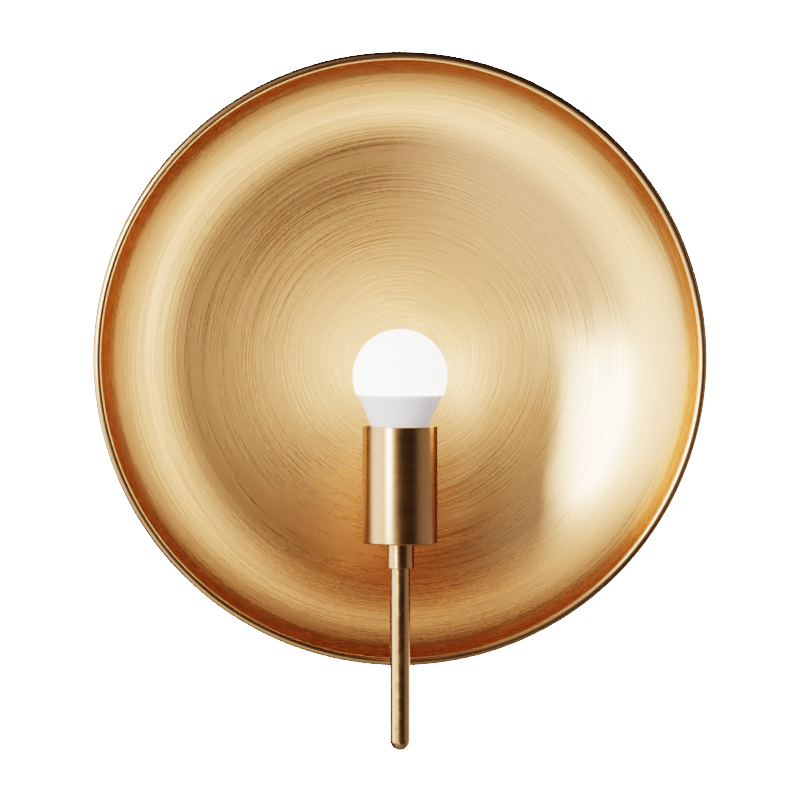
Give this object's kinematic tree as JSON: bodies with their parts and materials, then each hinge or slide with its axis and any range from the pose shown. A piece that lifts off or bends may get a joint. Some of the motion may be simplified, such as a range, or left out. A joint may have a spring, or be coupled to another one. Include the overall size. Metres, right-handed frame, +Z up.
{
  "type": "wall sconce",
  "caption": "Electric wall sconce: a round spun brass dish reflector on a canopy, with an opal globe bulb in a brass cup on a swinging rod arm in front of it.",
  "frame": {"origin": "on the wall plane, on the axis of the dish, at the centre of the two wall-box screw slots", "axes": "+X to the right as seen from the room, +Z up, +Y into the wall, so the sconce stands out towards -Y"},
  "size_m": [0.3556, 0.1662, 0.399],
  "materials": {
    "brass_spun": "spun brass with fine circular brush lines, clear lacquer",
    "brass_brushed": "brushed round the cup, clear lacquer",
    "brass_drawn": "drawn tube and rod, polished satin, clear lacquer",
    "brass_turned": "turned, satin",
    "brass_satin": "spun, satin, clear lacquer",
    "plated_steel": "zinc plated",
    "dark_steel": "black oxide",
    "green_paint": "green dye over steel",
    "connector_plastic": "moulded, satin",
    "wire_insulation": "smooth, satin",
    "white_nylon": "moulded, satin",
    "porcelain": "glazed",
    "contact_brass": "stamped, bright",
    "opal_diffuser": "opal, lit from inside",
    "white_plastic": "moulded, semi-gloss",
    "black_glass": "glossy black",
    "bare_aluminium": "sheet",
    "led_phosphor": "phosphor coat",
    "circuit_board": "solder resist"
  },
  "bodies": {
    "wall_unit": {"mounting_crossbar": "plated_steel", "ground_screw": "green_paint", "centre_nipple": "plated_steel", "crossbar_locknut": "plated_steel", "canopy_pan": "brass_satin", "dish_spacer": "brass_turned", "dish_reflector": "brass_spun", "dish_lock_washer": "plated_steel", "cap_nut": "brass_turned", "swivel_housing": "brass_turned", "saddle_washer": "plated_steel", "housing_nut": "plated_steel", "stop_pin": "dark_steel", "wire_connectors": "connector_plastic", "canopy_wires": "wire_insulation"},
    "swing_arm": {"pivot_spindle": "brass_turned", "friction_washer": "white_nylon", "disc_spring": "plated_steel", "spindle_washer": "plated_steel", "spindle_nut": "plated_steel", "arm_tube": "brass_drawn", "stem": "brass_drawn", "stem_collar": "brass_turned", "socket_nipple": "plated_steel", "socket_cup": "brass_brushed", "cup_lock_washer": "plated_steel", "cup_locknut": "plated_steel", "socket_bushing": "plated_steel", "bushing_set_screw": "dark_steel", "lampholder_body": "porcelain", "screw_shell": "contact_brass", "centre_contact": "contact_brass", "contact_rivets": "contact_brass", "terminal_plates": "contact_brass", "terminal_screws": "contact_brass", "lamp_wires": "wire_insulation"},
    "bulb": {"diffuser_dome": "opal_diffuser", "bulb_housing": "white_plastic", "base_shell": "plated_steel", "base_insulator": "black_glass", "tip_contact": "contact_brass", "led_plate": "bare_aluminium", "led_chips": "led_phosphor", "driver_board": "circuit_board", "driver_capacitor": "black_glass"}
  },
  "joints": [
    {"name": "arm_swing", "type": "hinge", "parent": "wall_unit", "child": "swing_arm", "pos_m": [0, -0.012, -0.07], "axis": [0, 0, 1], "range_deg": [-50, 50]},
    {"name": "bulb_lift", "type": "slide", "parent": "swing_arm", "child": "bulb", "axis": [0, 0, 1], "range_m": [0, 0.04]}
  ]
}
